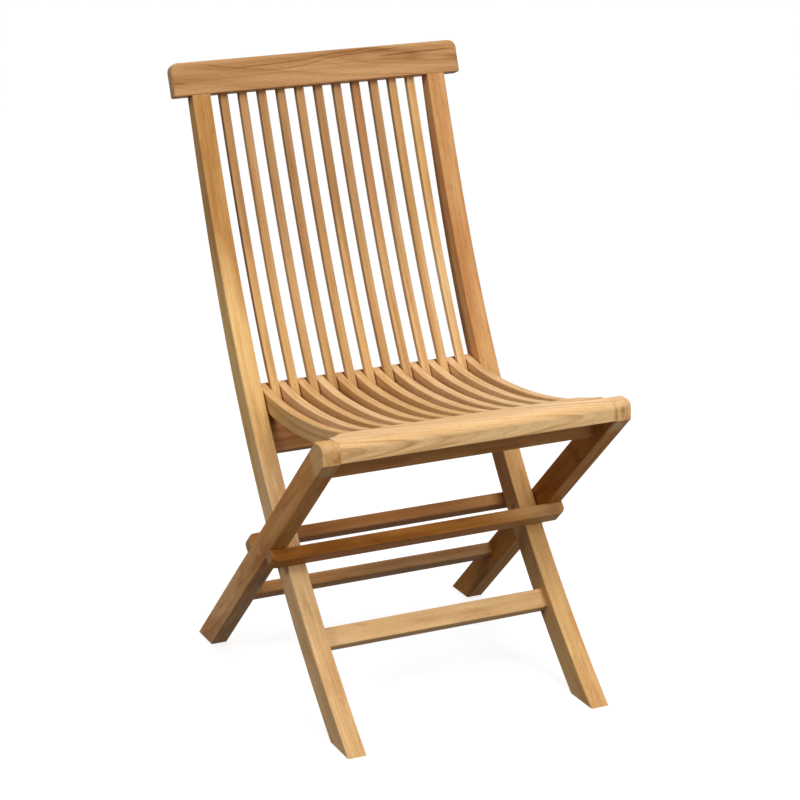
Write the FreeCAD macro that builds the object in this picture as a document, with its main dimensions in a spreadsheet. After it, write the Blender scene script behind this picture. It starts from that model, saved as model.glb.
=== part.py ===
import FreeCAD, Part
import math
import os

import Sketcher

# Folding patio chair in solid teak. X runs across the chair, -Y is the front, +Z is up.
# The chair has three folding members: the back frame with the front feet, the leg
# frame that crosses it and carries the rear feet, and the slatted seat.
os.makedirs("parts", exist_ok=True)

doc = FreeCAD.newDocument("FoldingChair")
sheet = doc.addObject("Spreadsheet::Sheet", "Dimensions")

# Driving dimensions in millimetres. Depths are measured from the lower front corner
# of the front feet, and the whole chair is centred over its depth at the end.
DRIVING = {
    # Widths across the chair
    "leg_half_span": 230.0,
    "leg_thickness": 26.0,
    "stile_thickness": 28.0,
    "pivot_gap": 2.0,
    "crest_inset": 1.0,
    # Swept side line of the back
    "stile_height": 834.6,
    "back_run": 527.5,
    "foot_slope": 1.1504,
    "crown_slope": 0.3375,
    "stile_foot_depth": 65.1,
    "stile_top_depth": 25.5,
    # Crest rail
    "crest_depth": 22.0,
    "crest_height": 49.5,
    "crest_corner_radius": 12.0,
    "crest_edge_radius": 5.0,
    # Back slats and the two rails between the stiles
    "back_slat_count": 11,
    "back_slat_width": 12.6,
    "back_slat_depth": 10.5,
    "back_slat_setback": 11.0,
    "slat_side_gap": 2.0,
    "slat_field_gap": 2.3,
    "lower_rail_depth": 15.0,
    "lower_rail_height": 51.0,
    "front_stretcher_station": 130.3,
    "front_stretcher_height": 29.5,
    "front_stretcher_depth": 18.0,
    "front_stretcher_setback": 16.0,
    # Seat
    "seat_front": -9.0,
    "seat_rail_depth": 67.0,
    "seat_slat_height": 27.0,
    "seat_low_depth": 285.0,
    "seat_low_height": 420.5,
    "seat_front_radius": 1000.0,
    "seat_rear_radius": 560.0,
    "nose_radius": 11.0,
    "seat_end_gap": 0.3,
    "seat_rest_gap": 0.3,
    "rail_waist_depth": 42.0,
    "rail_waist_length": 33.5,
    "rear_rail_depth": 16.0,
    "rear_rail_height": 24.0,
    "rear_rail_radius": 5.0,
    "rear_rail_rise": 12.5,
    "rear_rail_gap": 5.1,
    "rear_rail_side_gap": 2.0,
    # Crossing legs
    "leg_foot_front": 473.5,
    "leg_width": 38.2,
    "leg_rail_inset": 59.0,
    "leg_rail_depth": 16.0,
    "leg_rail_height": 29.0,
    "bar_depth": 19.0,
    "bar_corner_radius": 10.0,
    "stop_bar_height": 27.6,
    "stop_bar_gap": 0.3,
    "cross_bar_height": 22.5,
    "cross_bar_gap": 5.4,
    "rear_stretcher_drop": 180.8,
    "rear_stretcher_height": 23.2,
    "rear_stretcher_depth": 19.0,
    "rear_stretcher_inset": 1.0,
    # Pivot hardware
    "bolt_radius": 4.0,
    "running_gap": 0.05,
    "head_radius": 6.0,
    "head_length": 4.0,
    "nut_radius": 6.5,
    "nut_length": 5.0,
    "thread_stub": 0.6,
    "plug_radius": 6.5,
    "plug_length": 5.0,
    "leg_counterbore": 9.8,
    "stile_counterbore": 10.8,
    "washer_radius": 10.0,
    "washer_gap": 0.2,
    "seat_pin_inset": 29.0,
    "seat_pin_drop": 12.5,
    "seat_pin_in_leg": 17.0,
    "seat_pin_in_rail": 34.0,
    "seat_pin_end_gap": 0.5,
    # Eased edges
    "frame_ease": 2.0,
    "slat_ease": 1.5,
}

for row, (alias, number) in enumerate(DRIVING.items(), start=1):
    sheet.set("A%d" % row, alias)
    sheet.set("B%d" % row, str(number))
    sheet.setAlias("B%d" % row, alias)
doc.recompute()


def size(alias):
    """Read one dimension from the sheet."""
    return float(sheet.get(alias))


solved = []


def keep_solved(alias, number):
    """Add a solved value to the sheet, below the driving dimensions."""
    solved.append(alias)
    row = len(DRIVING) + len(solved)
    sheet.set("A%d" % row, alias)
    sheet.set("B%d" % row, "%.6f" % number)
    sheet.setAlias("B%d" % row, alias)


def solve(function, low, high):
    """Find by halving where a function of one number changes sign between two limits."""
    sign_low = function(low) > 0
    halvings = 80
    for _ in range(halvings):
        middle = (low + high) / 2
        if (function(middle) > 0) == sign_low:
            low = middle
        else:
            high = middle
    return (low + high) / 2


# Side view geometry. Points in the side view are (depth, height).
stile_height = size("stile_height")


def front_depth(z):
    """Depth of the swept front line of the back at height z."""
    share = z / stile_height
    foot_run = size("foot_slope") * stile_height
    crown_run = size("crown_slope") * stile_height
    run = size("back_run")
    square = 3 * run - 2 * foot_run - crown_run
    cube = foot_run + crown_run - 2 * run
    return foot_run * share + square * share ** 2 + cube * share ** 3


def front_slope(z):
    """Depth gained per unit of height along the swept front line."""
    share = z / stile_height
    run = size("back_run") / stile_height
    square = 3 * run - 2 * size("foot_slope") - size("crown_slope")
    cube = size("foot_slope") + size("crown_slope") - 2 * run
    return size("foot_slope") + 2 * square * share + 3 * cube * share ** 2


def stile_depth(z):
    """Depth of the stile along the level at height z."""
    taper = size("stile_top_depth") - size("stile_foot_depth")
    return size("stile_foot_depth") + taper * z / stile_height


def rear_depth(z):
    """Depth of the rear line of the stile at height z."""
    return front_depth(z) + stile_depth(z)


def rear_slope(z):
    """Depth gained per unit of height along the rear line of the stile."""
    return front_slope(z) + (size("stile_top_depth") - size("stile_foot_depth")) / stile_height


def along_back(z):
    """Unit vector up the back at station z."""
    slope = front_slope(z)
    length = math.hypot(slope, 1)
    return (slope / length, 1 / length)


def behind_back(z):
    """Unit vector square to the back at station z, pointing to the rear."""
    up = along_back(z)
    return (up[1], -up[0])


def shifted(point, direction, distance):
    """Move a side view point along a direction."""
    return (point[0] + direction[0] * distance, point[1] + direction[1] * distance)


def back_point(z, setback):
    """Point set back squarely from the swept front line at station z."""
    return shifted((front_depth(z), z), behind_back(z), setback)


def station_at_height(setback, height):
    """Station on the front line whose set back point lies at a height."""
    return solve(lambda z: back_point(z, setback)[1] - height, 0, stile_height + setback)


# Edges of a side view outline
def vector(point):
    """Turn a side view point into a sketch vector."""
    return FreeCAD.Vector(point[0], point[1], 0)


def line(start, end):
    """Straight edge between two side view points."""
    return Part.LineSegment(vector(start), vector(end))


def polygon(points):
    """Closed run of straight edges."""
    return [line(points[i], points[(i + 1) % len(points)]) for i in range(len(points))]


def bezier(points):
    """Smooth edge from its control points."""
    curve = Part.BSplineCurve()
    order = len(points)
    curve.buildFromPolesMultsKnots(
        [vector(point) for point in points], [order, order], [0.0, 1.0], False, order - 1)
    return curve


def graph_edge(depth_of, slope_of, low, high):
    """Exact smooth edge of a cubic side line between two heights."""
    third = (high - low) / 3
    return bezier([
        (depth_of(low), low),
        (depth_of(low) + slope_of(low) * third, low + third),
        (depth_of(high) - slope_of(high) * third, high - third),
        (depth_of(high), high),
    ])


def parallel_edge(setback, low, high):
    """Smooth edge parallel to the front line, between two stations."""
    steps = 12
    stations = [low + (high - low) * i / steps for i in range(steps + 1)]
    curve = Part.BSplineCurve()
    curve.interpolate([vector(back_point(z, setback)) for z in stations])
    return curve


def arc(centre, radius, start, end):
    """Arc about a centre from one point to another, the short way round."""
    start_angle = math.atan2(start[1] - centre[1], start[0] - centre[0])
    end_angle = math.atan2(end[1] - centre[1], end[0] - centre[0])
    turn = (end_angle - start_angle + math.pi) % (2 * math.pi) - math.pi
    middle_angle = start_angle + turn / 2
    middle = (centre[0] + radius * math.cos(middle_angle), centre[1] + radius * math.sin(middle_angle))
    return Part.Arc(vector(start), vector(middle), vector(end))


# Bodies, profiles and eased edges
def new_body(label, across):
    """Start a piece whose local zero lies at the given place across the chair."""
    body = doc.addObject("PartDesign::Body", label)
    body.Label = label
    body.setExpression("Placement.Base.x", across)
    return body


def plane_of(body, role):
    """Find one of the body's own origin planes."""
    return [item for item in body.Origin.OriginFeatures if item.Role == role][0]


def profile(body, edges, role="YZ_Plane"):
    """Draw a closed outline on one of the body's origin planes."""
    sketch = body.newObject("Sketcher::SketchObject", body.Label + "_profile")
    sketch.AttachmentSupport = (plane_of(body, role), [""])
    sketch.MapMode = "FlatFace"
    for edge in edges:
        sketch.addGeometry(edge, False)
    return sketch


def thicken(body, edges, length):
    """Pad a side view outline across the chair by a bound length."""
    sketch = profile(body, edges)
    pad = body.newObject("PartDesign::Pad", body.Label + "_pad")
    pad.Profile = sketch
    pad.setExpression("Length", length)
    doc.recompute()
    return pad


def ease(body, radius, wanted):
    """Round the edges of the newest feature that a test picks out."""
    base = body.Tip
    names = ["Edge%d" % (i + 1) for i, edge in enumerate(base.Shape.Edges) if wanted(edge)]
    fillet = body.newObject("PartDesign::Fillet", base.Name + "_ease")
    fillet.Base = (base, names)
    fillet.setExpression("Radius", radius)
    doc.recompute()
    return fillet


def runs_across(edge):
    """True for an edge that runs straight across the chair."""
    box = edge.BoundBox
    return box.YLength < 0.01 and box.ZLength < 0.01


def in_side_face(edge):
    """True for an edge that lies in one side face of a piece."""
    return edge.BoundBox.XLength < 0.01


def long_side_edge(edge):
    """True for a side face edge that runs along a long piece, longer than any cut end."""
    longest_end = 1.5 * size("stile_foot_depth")
    return in_side_face(edge) and edge.Length > longest_end


def bore(body, name, centre, radius, start, depth):
    """Cut a round hole across the chair from a local start, checking that it bites."""
    volume = body.Tip.Shape.Volume
    sketch = body.newObject("Sketcher::SketchObject", name + "_circle")
    sketch.AttachmentSupport = (plane_of(body, "YZ_Plane"), [""])
    sketch.MapMode = "FlatFace"
    sketch.setExpression("AttachmentOffset.Base.z", start)
    sketch.addGeometry(Part.Circle(vector(centre), FreeCAD.Vector(0, 0, 1), 1.0), False)
    ring = sketch.addConstraint(Sketcher.Constraint("Radius", 0, 1.0))
    sketch.setExpression("Constraints[%d]" % ring, radius)
    pocket = body.newObject("PartDesign::Pocket", name)
    pocket.Profile = sketch
    pocket.Reversed = True
    pocket.setExpression("Length", depth)
    doc.recompute()
    assert pocket.Shape.Volume < volume, name
    return pocket


def turned(label, side, centre, across, steps, hollow=0.0):
    """Revolve a round piece about a line across the chair; steps are (start, end, radius)."""
    body = doc.addObject("PartDesign::Body", label)
    body.Label = label
    points = [(steps[0][0], hollow)]
    for start, end, radius in steps:
        points.append((start, radius))
        points.append((end, radius))
    points.append((steps[-1][1], hollow))
    sketch = profile(body, polygon(points), "XY_Plane")
    turning = body.newObject("PartDesign::Revolution", label + "_turning")
    turning.Profile = sketch
    turning.ReferenceAxis = (sketch, ["H_Axis"])
    turning.Angle = 360
    body.Placement = FreeCAD.Placement(
        FreeCAD.Vector(0, centre[0], centre[1]),
        FreeCAD.Rotation(FreeCAD.Vector(0, 0, 1), 0 if side == "right" else 180))
    body.setExpression("Placement.Base.x", across if side == "right" else "-(%s)" % across)
    doc.recompute()
    return body


def side_base(side, outer, thickness):
    """Expression that places a side piece between its outer and inner face."""
    return "-(%s)" % outer if side == "left" else "%s - %s" % (outer, thickness)


def outer_start(side, thickness, depth):
    """Local start of a cut of some depth made from the outer face."""
    return "0" if side == "left" else "%s - %s" % (thickness, depth)


def inner_start(side, thickness, depth):
    """Local start of a cut of some depth made from the inner face."""
    return outer_start("right" if side == "left" else "left", thickness, depth)


SIDES = ("left", "right")
LEG_OUTER = "Dimensions.leg_half_span"
LEG_THICK = "Dimensions.leg_thickness"
LEG_INNER = LEG_OUTER + " - " + LEG_THICK
STILE_THICK = "Dimensions.stile_thickness"
STILE_OUTER = "(%s - Dimensions.pivot_gap)" % LEG_INNER
STILE_INNER = "(%s - %s)" % (STILE_OUTER, STILE_THICK)

stile_inner = size("leg_half_span") - size("leg_thickness") - size("pivot_gap") - size("stile_thickness")
slat_count = int(size("back_slat_count"))
slat_pitch = 2 * (stile_inner - size("slat_field_gap") + size("back_slat_width") / 2
                  + size("slat_side_gap")) / (slat_count + 1)
keep_solved("slat_pitch", slat_pitch)
keep_solved("seat_slat_width", slat_pitch - size("back_slat_width") - 2 * size("slat_side_gap"))

# Seat outline: two tangent arcs about the low point, and the rolled nose of the front rail
low_point = (size("seat_low_depth"), size("seat_low_height"))
seat_front = size("seat_front")
seat_slat_height = size("seat_slat_height")
rail_back = seat_front + size("seat_rail_depth")


def seat_centre(depth):
    """Centre and radius of the seat arc that holds a depth."""
    radius = size("seat_front_radius") if depth < low_point[0] else size("seat_rear_radius")
    return (low_point[0], low_point[1] + radius), radius


def seat_height(depth, below=0.0):
    """Height of the seat line at a depth, some way below the top of the slats."""
    centre, radius = seat_centre(depth)
    return centre[1] - math.sqrt((radius + below) ** 2 - (depth - centre[0]) ** 2)


rail_back_top = seat_height(rail_back)
rail_back_foot = seat_height(rail_back, seat_slat_height)
front_radius = size("seat_front_radius")
rail_rise = (low_point[0] - rail_back) / math.sqrt(front_radius ** 2 - (low_point[0] - rail_back) ** 2)
nose_depth = seat_front + size("nose_radius")
nose_top = rail_back_top + rail_rise * (rail_back - nose_depth) / 2
nose_foot = nose_top - seat_slat_height

# Crossing legs: a straight bar from the rear foot up to the nose of the seat
leg_slope = (size("leg_foot_front") - seat_front) / nose_foot
leg_up = (-leg_slope / math.hypot(leg_slope, 1), 1 / math.hypot(leg_slope, 1))
leg_out = (-leg_up[1], leg_up[0])
leg_level_width = size("leg_width") * math.hypot(leg_slope, 1)
leg_half_width = size("leg_width") / 2


def leg_front(z):
    """Depth of the lower front line of the leg at height z."""
    return size("leg_foot_front") - leg_slope * z


# Main pivot where the centre line of the stile crosses the centre line of the leg
pivot_height = solve(
    lambda z: front_depth(z) + stile_depth(z) / 2 - leg_front(z) - leg_level_width / 2, 0, nose_top)
pivot = (front_depth(pivot_height) + stile_depth(pivot_height) / 2, pivot_height)
seat_pivot = (seat_front + size("seat_pin_inset"), nose_top - size("seat_pin_drop"))


def leg_point(up, out):
    """Side view point from distances up the leg and out of its lower front face."""
    return shifted(shifted(pivot, leg_up, up), leg_out, out)


def leg_coordinates(point):
    """Distances of a side view point up the leg and out of its lower front face."""
    offset = (point[0] - pivot[0], point[1] - pivot[1])
    up = offset[0] * leg_up[0] + offset[1] * leg_up[1]
    out = offset[0] * leg_out[0] + offset[1] * leg_out[1]
    return up, out


def leg_bar(low, high, inner, outer):
    """Rectangle in leg directions."""
    corners = [(low, inner), (high, inner), (high, outer), (low, outer)]
    return polygon([leg_point(up, out) for up, out in corners])


# Back frame: swept stiles that end in the front feet
crown_up = along_back(stile_height)
crown_rear = behind_back(stile_height)
stile_crown = (front_depth(stile_height), stile_height)
rear_crown_height = solve(
    lambda z: (rear_depth(z) - stile_crown[0]) * crown_up[0] + (z - stile_crown[1]) * crown_up[1],
    stile_height / 2, stile_height)
stile_edges = [
    line((0, 0), (stile_depth(0), 0)),
    graph_edge(rear_depth, rear_slope, 0, rear_crown_height),
    line((rear_depth(rear_crown_height), rear_crown_height), stile_crown),
    graph_edge(front_depth, front_slope, 0, stile_height),
]
for side in SIDES:
    stile = new_body(side + "_stile", side_base(side, STILE_OUTER, STILE_THICK))
    thicken(stile, stile_edges, STILE_THICK)
    ease(stile, "Dimensions.frame_ease", long_side_edge)
    bore(stile, side + "_stile_pivot_hole", pivot, "Dimensions.bolt_radius", "0", STILE_THICK)
    bore(stile, side + "_stile_counterbore", pivot, "Dimensions.plug_radius",
         inner_start(side, STILE_THICK, "Dimensions.stile_counterbore"), "Dimensions.stile_counterbore")

# Crest rail over the stiles, square to the back
crest_foot_rear = shifted(stile_crown, crown_rear, size("crest_depth"))
crest_edges = polygon([
    stile_crown,
    crest_foot_rear,
    shifted(crest_foot_rear, crown_up, size("crest_height")),
    shifted(stile_crown, crown_up, size("crest_height")),
])
crest_middle = shifted(stile_crown, crown_up, size("crest_height") / 2)


def above_crest_middle(edge):
    """True for an edge in the upper half of the crest rail."""
    centre = edge.BoundBox.Center
    return (centre.y - crest_middle[0]) * crown_up[0] + (centre.z - crest_middle[1]) * crown_up[1] > 1


def crest_top_corner(edge):
    """True for an edge through the crest rail at one of its upper ends."""
    return in_side_face(edge) and above_crest_middle(edge) and edge.Length < size("crest_depth") + 1


def crest_top_edge(edge):
    """True for the long upper edges of the crest rail, which lead on round its ends."""
    return runs_across(edge) and above_crest_middle(edge)


def crest_foot_edge(edge):
    """True for the long lower edges of the crest rail."""
    return runs_across(edge) and not above_crest_middle(edge)


CREST_HALF = "(%s - Dimensions.crest_inset)" % LEG_OUTER
crest = new_body("crest_rail", "-" + CREST_HALF)
thicken(crest, crest_edges, "2 * " + CREST_HALF)
ease(crest, "Dimensions.crest_corner_radius", crest_top_corner)
ease(crest, "Dimensions.crest_edge_radius", crest_top_edge)
ease(crest, "Dimensions.frame_ease", crest_foot_edge)

# Lower back rail: its level top carries the seat, and the back slats stand on it
setback = size("back_slat_setback")
lower_rail_rear = setback + size("lower_rail_depth")
seat_rest_height = solve(
    lambda z: z - seat_height(back_point(station_at_height(setback, z), setback)[0], seat_slat_height)
    + size("seat_rest_gap"), nose_top / 2, nose_top)
lower_rail_station = station_at_height(setback, seat_rest_height - size("lower_rail_height"))
lower_rail_edges = [
    parallel_edge(setback, lower_rail_station, station_at_height(setback, seat_rest_height)),
    line(back_point(station_at_height(setback, seat_rest_height), setback),
         back_point(station_at_height(lower_rail_rear, seat_rest_height), lower_rail_rear)),
    parallel_edge(lower_rail_rear, lower_rail_station, station_at_height(lower_rail_rear, seat_rest_height)),
    line(back_point(lower_rail_station, setback), back_point(lower_rail_station, lower_rail_rear)),
]
lower_rail = new_body("lower_back_rail", "-" + STILE_INNER)
thicken(lower_rail, lower_rail_edges, "2 * " + STILE_INNER)


def below_seat_rest(edge):
    """True for a long edge of the lower back rail away from the seat."""
    return runs_across(edge) and edge.BoundBox.ZMax < seat_rest_height - 1


ease(lower_rail, "Dimensions.frame_ease", below_seat_rest)

# Back slats between the lower back rail and the crest rail
slat_rear = setback + size("back_slat_depth")
slat_edges = [
    parallel_edge(setback, station_at_height(setback, seat_rest_height), stile_height),
    line(back_point(stile_height, setback), back_point(stile_height, slat_rear)),
    parallel_edge(slat_rear, station_at_height(slat_rear, seat_rest_height), stile_height),
    line(back_point(station_at_height(setback, seat_rest_height), setback),
         back_point(station_at_height(slat_rear, seat_rest_height), slat_rear)),
]
for number in range(slat_count):
    place = number - (slat_count - 1) / 2
    slat = new_body("back_slat_%02d" % (number + 1),
                    "%.1f * Dimensions.slat_pitch - Dimensions.back_slat_width / 2" % place)
    thicken(slat, slat_edges, "Dimensions.back_slat_width")
    ease(slat, "Dimensions.slat_ease", long_side_edge)

# Front stretcher between the front feet
station = size("front_stretcher_station")
stretcher_front = size("front_stretcher_setback")
stretcher_up = along_back(station)
half_height = size("front_stretcher_height") / 2
stretcher_near = back_point(station, stretcher_front)
stretcher_far = back_point(station, stretcher_front + size("front_stretcher_depth"))
front_stretcher = new_body("front_stretcher", "-" + STILE_INNER)
thicken(front_stretcher, polygon([
    shifted(stretcher_near, stretcher_up, -half_height),
    shifted(stretcher_far, stretcher_up, -half_height),
    shifted(stretcher_far, stretcher_up, half_height),
    shifted(stretcher_near, stretcher_up, half_height),
]), "2 * " + STILE_INNER)
ease(front_stretcher, "Dimensions.frame_ease", runs_across)

# Leg frame: straight legs with a block top that continues the seat nose
leg_top_back = (leg_front(nose_top) + leg_level_width, nose_top)
nose_centre = (nose_depth, nose_top - size("nose_radius"))
nose_face = (seat_front, nose_centre[1])
nose_crown = (nose_depth, nose_top)
leg_edges = [
    line((leg_front(0), 0), (leg_front(0) + leg_level_width, 0)),
    line((leg_front(0) + leg_level_width, 0), leg_top_back),
    line(leg_top_back, nose_crown),
    arc(nose_centre, size("nose_radius"), nose_crown, nose_face),
    line(nose_face, (seat_front, nose_foot)),
    line((seat_front, nose_foot), (leg_front(0), 0)),
]
for side in SIDES:
    leg = new_body(side + "_leg", side_base(side, LEG_OUTER, LEG_THICK))
    thicken(leg, leg_edges, LEG_THICK)
    outer_face = 0.0 if side == "left" else size("leg_thickness")
    ease(leg, "Dimensions.frame_ease",
         lambda edge: in_side_face(edge)
         and (long_side_edge(edge) or abs(edge.BoundBox.XMin - outer_face) < 0.01))
    bore(leg, side + "_leg_pivot_hole", pivot,
         "Dimensions.bolt_radius + Dimensions.running_gap", "0", LEG_THICK)
    bore(leg, side + "_leg_counterbore", pivot, "Dimensions.plug_radius",
         outer_start(side, LEG_THICK, "Dimensions.leg_counterbore"), "Dimensions.leg_counterbore")
    bore(leg, side + "_leg_pin_hole", seat_pivot, "Dimensions.bolt_radius",
         inner_start(side, LEG_THICK, "Dimensions.seat_pin_in_leg"), "Dimensions.seat_pin_in_leg")

# Bars across both legs: the stiles come to rest against the front one when the chair
# opens, and the rear one ties the legs together below the stiles
bar_inner = leg_half_width
bar_outer = leg_half_width + size("bar_depth")
samples = 400
sampled_heights = [pivot_height * 2 * i / samples for i in range(samples + 1)]
front_line = [leg_coordinates((front_depth(z), z)) for z in sampled_heights]
rear_line = [leg_coordinates((rear_depth(z), z)) for z in sampled_heights]
stop_bar_foot = max(up for up, out in front_line if bar_inner <= out <= bar_outer) + size("stop_bar_gap")
cross_bar_head = min(up for up, out in rear_line if -bar_outer <= out <= -bar_inner) - size("cross_bar_gap")
cross_bar_foot = cross_bar_head - size("cross_bar_height")
leg_bars = {
    "front_stop_bar": leg_bar(stop_bar_foot, stop_bar_foot + size("stop_bar_height"), bar_inner, bar_outer),
    "rear_cross_bar": leg_bar(cross_bar_foot, cross_bar_head, -bar_outer, -bar_inner),
}


def bar_corner(edge):
    """True for the end edges of a bar on its face away from the legs."""
    if not in_side_face(edge):
        return False
    centre = edge.BoundBox.Center
    return abs(leg_coordinates((centre.y, centre.z))[1]) > bar_outer - 1


for label, edges in leg_bars.items():
    bar = new_body(label, "-" + LEG_OUTER)
    thicken(bar, edges, "2 * " + LEG_OUTER)
    ease(bar, "Dimensions.bar_corner_radius", bar_corner)
    ease(bar, "Dimensions.frame_ease", runs_across)

# Rear stretcher low between the legs
stretcher_low = -size("rear_stretcher_drop") - size("rear_stretcher_height")
stretcher_inner = -leg_half_width + size("rear_stretcher_inset")
rear_stretcher = new_body("rear_stretcher", "-(%s)" % LEG_INNER)
thicken(rear_stretcher, leg_bar(
    stretcher_low, -size("rear_stretcher_drop"),
    stretcher_inner, stretcher_inner + size("rear_stretcher_depth")), "2 * (%s)" % LEG_INNER)
ease(rear_stretcher, "Dimensions.frame_ease", runs_across)

# Leg top rail between the legs, close under the seat slats
leg_rail_near = seat_front + size("leg_rail_inset")
leg_rail_far = leg_rail_near + size("leg_rail_depth")
leg_rail_top = min(seat_height(leg_rail_near, seat_slat_height),
                   seat_height(leg_rail_far, seat_slat_height)) - size("seat_rest_gap")
leg_rail_foot = leg_rail_top - size("leg_rail_height")
leg_rail = new_body("leg_top_rail", "-(%s)" % LEG_INNER)
thicken(leg_rail, polygon([
    (leg_rail_near, leg_rail_foot),
    (leg_rail_far, leg_rail_foot),
    (leg_rail_far, leg_rail_top),
    (leg_rail_near, leg_rail_top),
]), "2 * (%s)" % LEG_INNER)
ease(leg_rail, "Dimensions.frame_ease", runs_across)

# Seat front rail with a rolled nose, waisted at its two ends
SEAT_HALF = "(%s - Dimensions.seat_end_gap)" % LEG_INNER
seat_half = size("leg_half_span") - size("leg_thickness") - size("seat_end_gap")
seat_rail_edges = [
    bezier([(rail_back, rail_back_top), ((rail_back + nose_depth) / 2, nose_top), nose_crown]),
    arc(nose_centre, size("nose_radius"), nose_crown, nose_face),
    line(nose_face, (seat_front, nose_foot)),
    line((seat_front, nose_foot), (rail_back, rail_back_foot)),
    line((rail_back, rail_back_foot), (rail_back, rail_back_top)),
]
seat_rail = new_body("seat_front_rail", "-" + SEAT_HALF)
thicken(seat_rail, seat_rail_edges, "2 * " + SEAT_HALF)

# The waists are cut through the rail from above; local X starts at the left end of the rail
waist_depth = seat_front + size("rail_waist_depth")
waist_length = size("rail_waist_length")
beyond_rail = rail_back + size("rail_waist_depth")
waist_edges = []
for end, inward in ((0.0, waist_length), (2 * seat_half, -waist_length)):
    inner_end = end + inward
    outside = end - inward
    waist_edges += [
        bezier([(end, waist_depth), (end + inward / 2, waist_depth),
                (end + inward / 2, rail_back), (inner_end, rail_back)]),
        line((inner_end, rail_back), (inner_end, beyond_rail)),
        line((inner_end, beyond_rail), (outside, beyond_rail)),
        line((outside, beyond_rail), (outside, waist_depth)),
        line((outside, waist_depth), (end, waist_depth)),
    ]
full_volume = seat_rail.Tip.Shape.Volume
waist_sketch = profile(seat_rail, waist_edges, "XY_Plane")
waist_cut = seat_rail.newObject("PartDesign::Pocket", "seat_front_rail_waists")
waist_cut.Profile = waist_sketch
waist_cut.Type = "ThroughAll"
waist_cut.Reversed = True
doc.recompute()
assert waist_cut.Shape.Volume < full_volume


def rail_rim_edge(edge):
    """True for the front lower edge of the rail and the upper edges of its waists."""
    box = edge.BoundBox
    waist_edge = abs(box.XLength - waist_length) < 2 and box.ZMin > nose_foot
    front_foot = runs_across(edge) and box.YMax < seat_front + 1 and box.ZMax < nose_foot + 1
    return front_foot or waist_edge


ease(seat_rail, "Dimensions.slat_ease", rail_rim_edge)
for side in SIDES:
    bore(seat_rail, side + "_seat_rail_pin_hole", seat_pivot,
         "Dimensions.bolt_radius + Dimensions.running_gap",
         "0" if side == "left" else "2 * %s - Dimensions.seat_pin_in_rail" % SEAT_HALF,
         "Dimensions.seat_pin_in_rail")

# Seat rear rail behind the back slats, parallel to them
rear_station = size("seat_low_height") + size("rear_rail_rise")
rear_up = along_back(rear_station)
rear_out = behind_back(rear_station)
rear_near = back_point(rear_station, slat_rear + size("rear_rail_gap"))
rear_far = shifted(rear_near, rear_out, size("rear_rail_depth"))
rear_half = size("rear_rail_height") / 2
REAR_HALF = "(%s - Dimensions.rear_rail_side_gap)" % STILE_INNER
rear_rail = new_body("seat_rear_rail", "-" + REAR_HALF)
thicken(rear_rail, polygon([
    shifted(rear_near, rear_up, -rear_half),
    shifted(rear_far, rear_up, -rear_half),
    shifted(rear_far, rear_up, rear_half),
    shifted(rear_near, rear_up, rear_half),
]), "2 * " + REAR_HALF)
ease(rear_rail, "Dimensions.rear_rail_radius", runs_across)


def rail_face_depth(below):
    """Depth at which a seat line some way below the top meets the rear rail."""
    def beyond(depth):
        height = seat_height(depth, below)
        return (depth - rear_near[0]) * rear_out[0] + (height - rear_near[1]) * rear_out[1]
    return solve(beyond, low_point[0], rear_far[0] + seat_slat_height)


def seat_edge(start, end, below):
    """Smooth edge along the seat line between two depths."""
    steps = 16
    depths = [start + (end - start) * i / steps for i in range(steps + 1)]
    curve = Part.BSplineCurve()
    curve.interpolate([vector((depth, seat_height(depth, below))) for depth in depths])
    return curve


# Seat slats between the two seat rails, passing between the back slats
top_end = (rail_face_depth(0.0), seat_height(rail_face_depth(0.0)))
foot_depth = rail_face_depth(seat_slat_height)
foot_end = (foot_depth, seat_height(foot_depth, seat_slat_height))
seat_slat_edges = [
    seat_edge(rail_back, top_end[0], 0.0),
    line(top_end, foot_end),
    seat_edge(rail_back, foot_end[0], seat_slat_height),
    line((rail_back, rail_back_foot), (rail_back, rail_back_top)),
]
for number in range(slat_count + 1):
    place = number - slat_count / 2
    slat = new_body("seat_slat_%02d" % (number + 1),
                    "%.1f * Dimensions.slat_pitch - Dimensions.seat_slat_width / 2" % place)
    thicken(slat, seat_slat_edges, "Dimensions.seat_slat_width")
    ease(slat, "Dimensions.slat_ease", long_side_edge)

# Pivot hardware, hidden under plugs
washer_length = size("pivot_gap") - size("washer_gap")
stile_land = size("stile_thickness") - size("stile_counterbore")
leg_land = size("leg_thickness") - size("leg_counterbore")
bolt_start = -stile_land - size("nut_length") - size("thread_stub")
head_start = size("pivot_gap") + leg_land + size("washer_gap")
shank = size("bolt_radius")
for side in SIDES:
    turned(side + "_pivot_bolt", side, pivot, STILE_OUTER, [
        (bolt_start, head_start, shank),
        (head_start, head_start + size("head_length"), size("head_radius")),
    ])
    turned(side + "_pivot_nut", side, pivot, STILE_OUTER, [
        (-stile_land - size("nut_length"), -stile_land, size("nut_radius")),
    ], hollow=shank)
    turned(side + "_pivot_washer", side, pivot, STILE_OUTER, [
        (0, washer_length, size("washer_radius")),
    ], hollow=shank)
    turned(side + "_stile_plug", side, pivot, STILE_INNER, [
        (0, size("plug_length") - size("thread_stub"), size("plug_radius")),
    ])
    turned(side + "_leg_plug", side, pivot, LEG_OUTER, [
        (-size("plug_length"), 0, size("plug_radius")),
    ])
    turned(side + "_seat_pin", side, seat_pivot, LEG_INNER, [
        (size("seat_pin_end_gap") - size("seat_end_gap") - size("seat_pin_in_rail"),
         size("seat_pin_in_leg"), shank),
    ])

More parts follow.
